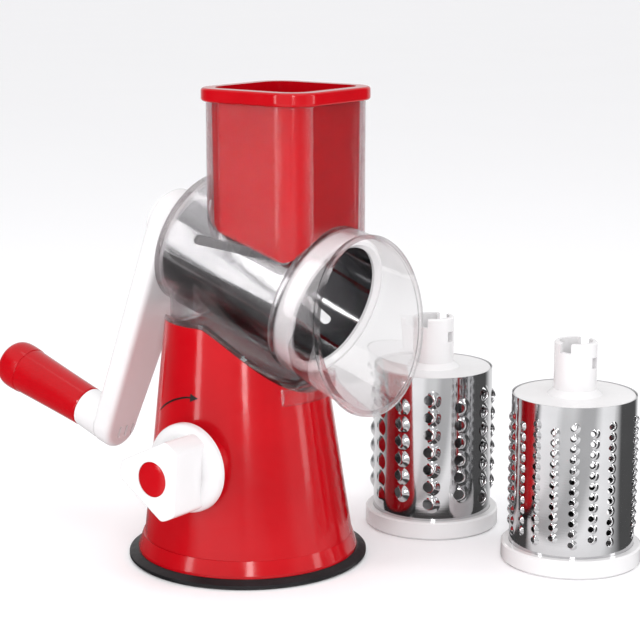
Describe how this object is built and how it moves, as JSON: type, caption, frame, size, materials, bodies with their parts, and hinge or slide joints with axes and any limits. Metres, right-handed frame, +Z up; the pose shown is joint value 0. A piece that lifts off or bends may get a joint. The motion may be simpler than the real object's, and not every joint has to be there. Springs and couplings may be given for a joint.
{
  "type": "rotary cheese grater",
  "caption": "Hand-cranked drum grater with a clear feed housing on a suction base, a square food pusher, a slicing drum fitted and grating drums beside it.",
  "frame": {"origin": "centre of the suction foot, on the table", "axes": "+Z up, +X horizontally the way the mouth faces, locking knob on the -Y side"},
  "size_m": [0.3437, 0.2226, 0.2486],
  "materials": {
    "red_gloss": "gloss moulded",
    "white_gloss": "gloss moulded",
    "clear_plastic": "clear gloss moulded",
    "polished_steel": "polished sheet",
    "steel_fastener": "plated",
    "black_rubber": "soft satin"
  },
  "bodies": {
    "base": {"suction_cup": "black_rubber", "base_collar": "red_gloss", "base_shell": "red_gloss", "base_screws": "steel_fastener"},
    "lock_knob": {"lock_knob": "white_gloss", "knob_cap": "red_gloss", "knob_screw": "steel_fastener", "cam_shaft": "steel_fastener"},
    "suction_rod": {"pull_rod": "white_gloss"},
    "housing": {"clear_housing": "clear_plastic"},
    "pusher": {"food_pusher": "red_gloss"},
    "crank": {"crank_arm": "white_gloss", "crank_arm_cover": "white_gloss", "handle_pin": "steel_fastener", "handle_screw": "steel_fastener"},
    "grip": {"handle_grip": "red_gloss", "grip_cap": "red_gloss"},
    "slicer_drum": {"slicer_hub": "white_gloss", "slicer_ring": "white_gloss", "slicer_sleeve": "polished_steel"},
    "coarse_drum": {"coarse_hub": "white_gloss", "coarse_ring": "white_gloss", "coarse_sleeve": "polished_steel"},
    "fine_drum": {"fine_hub": "white_gloss", "fine_ring": "white_gloss", "fine_sleeve": "polished_steel"}
  },
  "joints": [
    {"name": "knob_turn", "type": "hinge", "parent": "base", "child": "lock_knob", "pos_m": [0.006, -0.052, 0.06], "axis": [0, 1, 0], "range_deg": [0, 90]},
    {"name": "suction_lift", "type": "slide", "parent": "base", "child": "suction_rod", "axis": [0, 0, 1], "range_m": [0, 0.00401], "deforming": ["suction_cup"]},
    {"name": "housing_lift", "type": "slide", "parent": "base", "child": "housing", "axis": [0, 0, 1], "range_m": [0, 0.06]},
    {"name": "pusher_lift", "type": "slide", "parent": "housing", "child": "pusher", "axis": [0, 0, 1], "range_m": [0, 0.1]},
    {"name": "crank_spin", "type": "hinge", "parent": "housing", "child": "crank", "pos_m": [0.0139, 0, 0.1539], "axis": [0.9553, 0, -0.2957], "continuous": true},
    {"name": "grip_spin", "type": "hinge", "parent": "crank", "child": "grip", "pos_m": [-0.02072, -0.01479, 0.04207], "axis": [0.9553, 0, -0.2957], "continuous": true},
    {"name": "drum_slide", "type": "slide", "parent": "crank", "child": "slicer_drum", "axis": [0.9553, 0, -0.2957], "range_m": [0, 0.15]},
    {"name": "coarse_drum_lift", "type": "slide", "parent": "base", "child": "coarse_drum", "axis": [0, 0, 1], "range_m": [0, 0.13]},
    {"name": "fine_drum_lift", "type": "slide", "parent": "base", "child": "fine_drum", "axis": [0, 0, 1], "range_m": [0, 0.13]}
  ],
  "couplings": [
    {"joint": "suction_lift", "follows": "knob_turn", "m_per_rad": 0.0025465}
  ]
}
